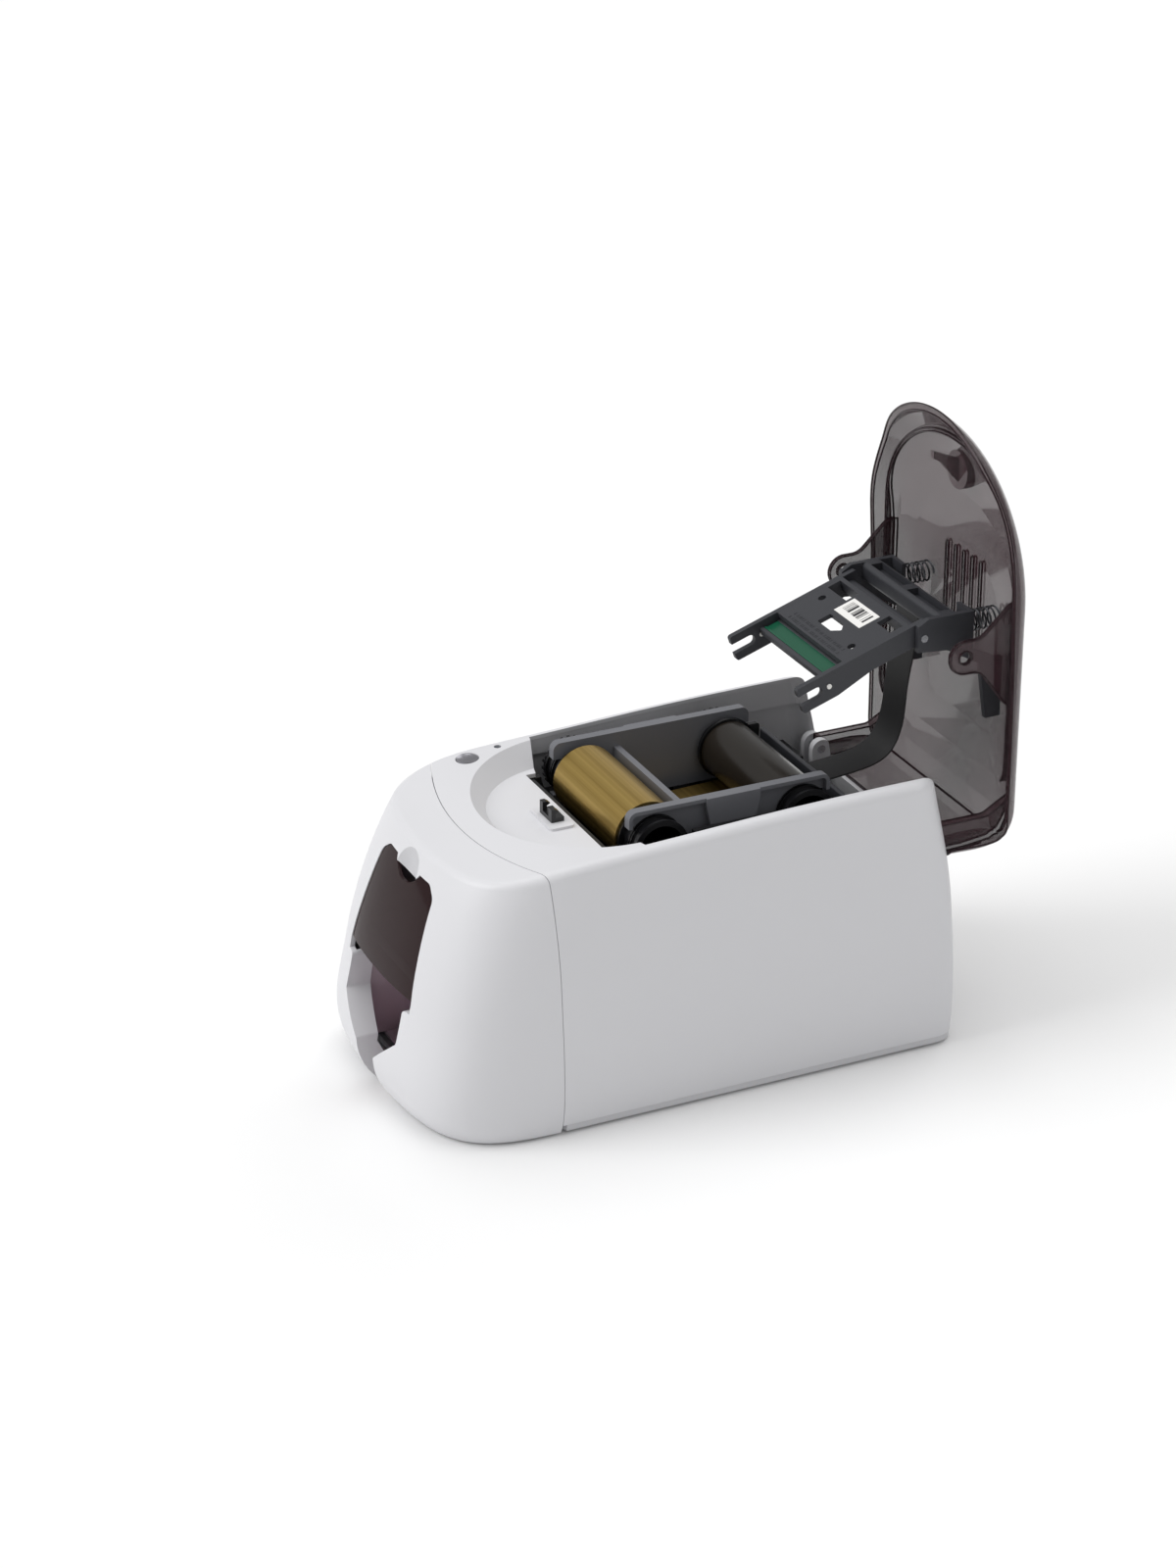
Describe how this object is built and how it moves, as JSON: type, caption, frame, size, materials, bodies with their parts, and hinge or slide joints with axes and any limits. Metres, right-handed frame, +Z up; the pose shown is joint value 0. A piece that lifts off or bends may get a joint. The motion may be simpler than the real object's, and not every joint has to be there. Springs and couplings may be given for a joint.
{
  "type": "id card printer",
  "caption": "Desktop ID card printer with a hinged smoked lid, swinging print head, ribbon cartridge, tinted hopper door and a bowl-shaped deck",
  "frame": {"origin": "Centre of the body's footprint on the table plane, under the feet", "axes": "+Z up, -Y to the front with the hopper, +X to the side seen in the picture; mirror-like about the YZ plane"},
  "size_m": [0.208, 0.4348, 0.4045],
  "materials": {
    "white_cover": "smooth satin white moulded plastic",
    "white_housing": "smooth satin white moulded plastic",
    "white_base": "matt white moulded plastic",
    "grey_rubber": "soft matt rubber",
    "dark_grey_plastic": "fine-grained dark grey plastic",
    "card_printed": "glossy printed card",
    "card_plastic": "glossy white card",
    "lamp": "clear light pipe",
    "black_plastic": "matt black moulded plastic",
    "steel": "ground steel",
    "metal_grey": "matt aluminium",
    "board_green": "green solder resist",
    "smoked": "smoked clear plastic",
    "black_cable": "matt black cable sheath",
    "green_ceramic": "glazed green ceramic",
    "label_white": "paper label",
    "pin_white": "white plastic",
    "cartridge_grey": "satin mid-grey plastic",
    "ribbon_clear": "thin gold film",
    "gold_ribbon": "shiny gold metallic film",
    "used_ribbon": "dark wound film",
    "platen_rubber": "fine matt rubber",
    "button_grey": "glossy silver-grey plastic"
  },
  "bodies": {
    "printer_body": {"front_cover": "white_cover", "main_housing": "white_housing", "base_plate": "white_base", "rubber_feet": "grey_rubber", "hopper_chute": "dark_grey_plastic", "printed_card": "card_printed", "blank_cards": "card_plastic", "status_light": "lamp", "latch_catch": "black_plastic", "hinge_pins": "steel", "drive_belt": "grey_rubber", "feed_motor": "metal_grey", "ribbon_motor": "metal_grey", "card_guide": "dark_grey_plastic", "print_chassis": "black_plastic", "chassis_plates": "black_plastic", "cartridge_rests": "black_plastic", "bay_shelves": "black_plastic", "bay_rear_plate": "dark_grey_plastic", "main_board": "board_green", "board_parts": "black_plastic", "usb_port": "metal_grey", "power_inlet": "black_plastic", "chassis_screws": "steel"},
    "lid": {"lid_shell": "smoked", "lid_latch_hook": "smoked", "head_beam": "black_plastic", "carrier_springs": "steel", "pivot_pins": "steel", "head_cable": "black_cable"},
    "print_head": {"head_carrier": "dark_grey_plastic", "carrier_arms": "dark_grey_plastic", "thermal_head": "green_ceramic", "head_backing": "metal_grey", "head_label": "label_white", "fork_pins": "pin_white"},
    "hopper_door": {"hopper_window": "smoked"},
    "cartridge": {"cartridge_frame": "cartridge_grey", "ribbon_film": "ribbon_clear"},
    "supply_spool": {"supply_core": "black_plastic", "supply_roll": "gold_ribbon"},
    "takeup_spool": {"takeup_core": "black_plastic", "takeup_roll": "used_ribbon"},
    "platen": {"platen_roller": "platen_rubber", "platen_shaft": "steel", "platen_pulley": "black_plastic"},
    "feed_drive": {"motor_pulley": "black_plastic", "feed_motor_shaft": "steel"},
    "ribbon_drive": {"ribbon_gear": "pin_white", "ribbon_motor_shaft": "steel"},
    "front_feed": {"front_feed_roller": "platen_rubber"},
    "rear_feed": {"rear_feed_roller": "platen_rubber"},
    "front_pinch": {"front_pinch_roller": "platen_rubber"},
    "rear_pinch": {"rear_pinch_roller": "platen_rubber"},
    "button": {"power_button": "button_grey"}
  },
  "joints": [
    {"name": "lid_hinge", "type": "hinge", "parent": "printer_body", "child": "lid", "pos_m": [0, 0.176, 0.143], "axis": [-1, 0, 0], "range_deg": [-90, 0], "deforming": ["ribbon_film", "head_cable"]},
    {"name": "head_carrier_float", "type": "hinge", "parent": "lid", "child": "print_head", "pos_m": [0, 0.181, 0.272], "axis": [1, 0, 0], "range_deg": [0, 7], "stiffness_Nm_per_rad": 0.6},
    {"name": "hopper_door_hinge", "type": "hinge", "parent": "printer_body", "child": "hopper_door", "pos_m": [0, -0.16957, 0.095], "axis": [1, 0, 0], "range_deg": [0, 40]},
    {"name": "cartridge_lift", "type": "slide", "parent": "printer_body", "child": "cartridge", "axis": [0, 0, 1], "range_m": [0, 0.034]},
    {"name": "supply_spin", "type": "hinge", "parent": "cartridge", "child": "supply_spool", "pos_m": [0, -0.013, 0.17], "axis": [1, 0, 0], "continuous": true},
    {"name": "takeup_spin", "type": "hinge", "parent": "cartridge", "child": "takeup_spool", "pos_m": [0, 0.092, 0.17], "axis": [1, 0, 0], "continuous": true},
    {"name": "ribbon_drive_spin", "type": "hinge", "parent": "printer_body", "child": "ribbon_drive", "pos_m": [0, 0.092, 0.1342], "axis": [1, 0, 0], "continuous": true},
    {"name": "platen_spin", "type": "hinge", "parent": "printer_body", "child": "platen", "pos_m": [0, 0.07272, 0.0733], "axis": [1, 0, 0], "continuous": true},
    {"name": "feed_drive_spin", "type": "hinge", "parent": "printer_body", "child": "feed_drive", "pos_m": [0, -0.008, 0.056], "axis": [1, 0, 0], "continuous": true},
    {"name": "front_feed_spin", "type": "hinge", "parent": "printer_body", "child": "front_feed", "pos_m": [0, -0.026, 0.0765], "axis": [1, 0, 0], "continuous": true},
    {"name": "rear_feed_spin", "type": "hinge", "parent": "printer_body", "child": "rear_feed", "pos_m": [0, 0.112, 0.0765], "axis": [1, 0, 0], "continuous": true},
    {"name": "front_pinch_spin", "type": "hinge", "parent": "printer_body", "child": "front_pinch", "pos_m": [0, -0.026, 0.0895], "axis": [1, 0, 0], "continuous": true},
    {"name": "rear_pinch_spin", "type": "hinge", "parent": "printer_body", "child": "rear_pinch", "pos_m": [0, 0.112, 0.0895], "axis": [1, 0, 0], "continuous": true},
    {"name": "power_button_press", "type": "slide", "parent": "printer_body", "child": "button", "axis": [0, 0, -1], "range_m": [0, 0.0012], "stiffness_N_per_m": 400}
  ],
  "couplings": [
    {"joint": "takeup_spin", "follows": "supply_spin", "ratio": 1.1598},
    {"joint": "ribbon_drive_spin", "follows": "supply_spin", "ratio": -1.3746},
    {"joint": "feed_drive_spin", "follows": "platen_spin", "ratio": 1},
    {"joint": "front_feed_spin", "follows": "platen_spin", "ratio": 1.3333},
    {"joint": "rear_feed_spin", "follows": "platen_spin", "ratio": 1.3333},
    {"joint": "front_pinch_spin", "follows": "platen_spin", "ratio": -1.3333},
    {"joint": "rear_pinch_spin", "follows": "platen_spin", "ratio": -1.3333}
  ]
}
